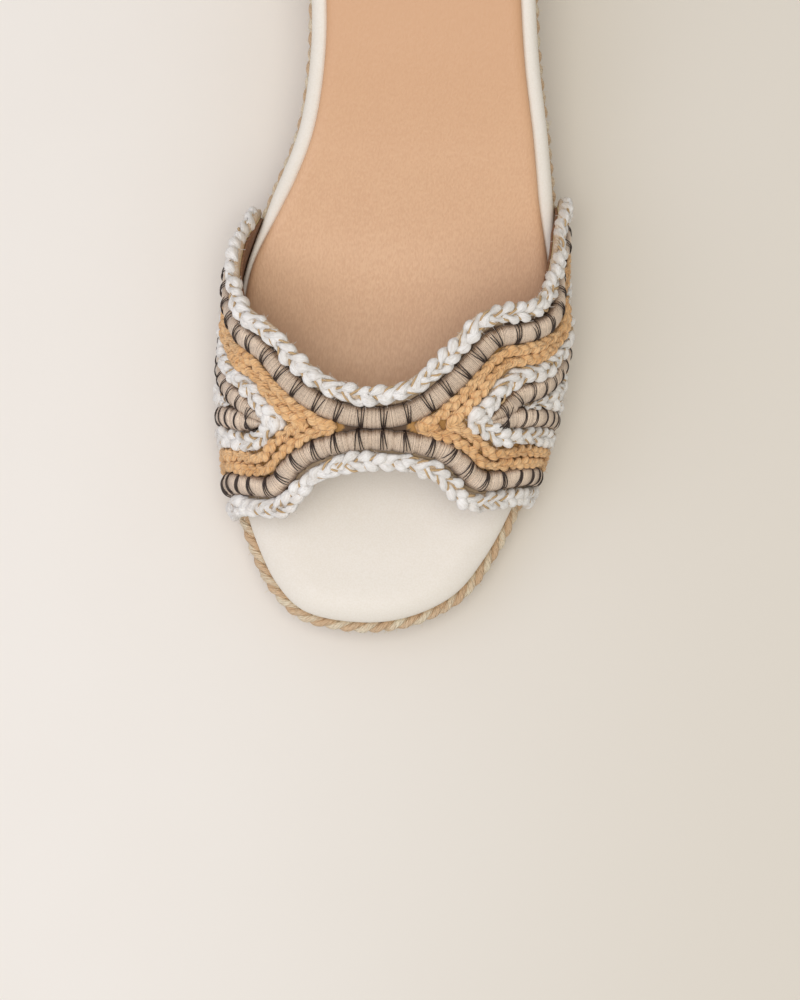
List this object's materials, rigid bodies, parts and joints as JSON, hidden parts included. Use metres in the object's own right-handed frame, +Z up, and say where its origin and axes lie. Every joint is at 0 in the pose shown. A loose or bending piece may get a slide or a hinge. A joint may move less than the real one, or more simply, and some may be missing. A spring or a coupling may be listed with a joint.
{
  "type": "heeled sandal",
  "caption": "Backless wedge sandal with an open toe, a corded and braided strap over the ball of the foot and a rope-wrapped sole.",
  "frame": {"origin": "middle of the shoe's bounding box, on the floor it stands on", "axes": "+Z up; the toe points along -Y and the heel along +Y; the big-toe side is -X"},
  "size_m": [0.1016, 0.2464, 0.0722],
  "materials": {
    "outsole": "matte",
    "rope": "matte",
    "footbed": "satin",
    "insole_sock": "satin",
    "strap": "matte"
  },
  "bodies": {
    "root": {"outsole": "outsole", "rope_wedge": "rope", "rope_trim": "rope", "footbed": "footbed", "insole_sock": "insole_sock", "strap": "strap"}
  },
  "joints": []
}
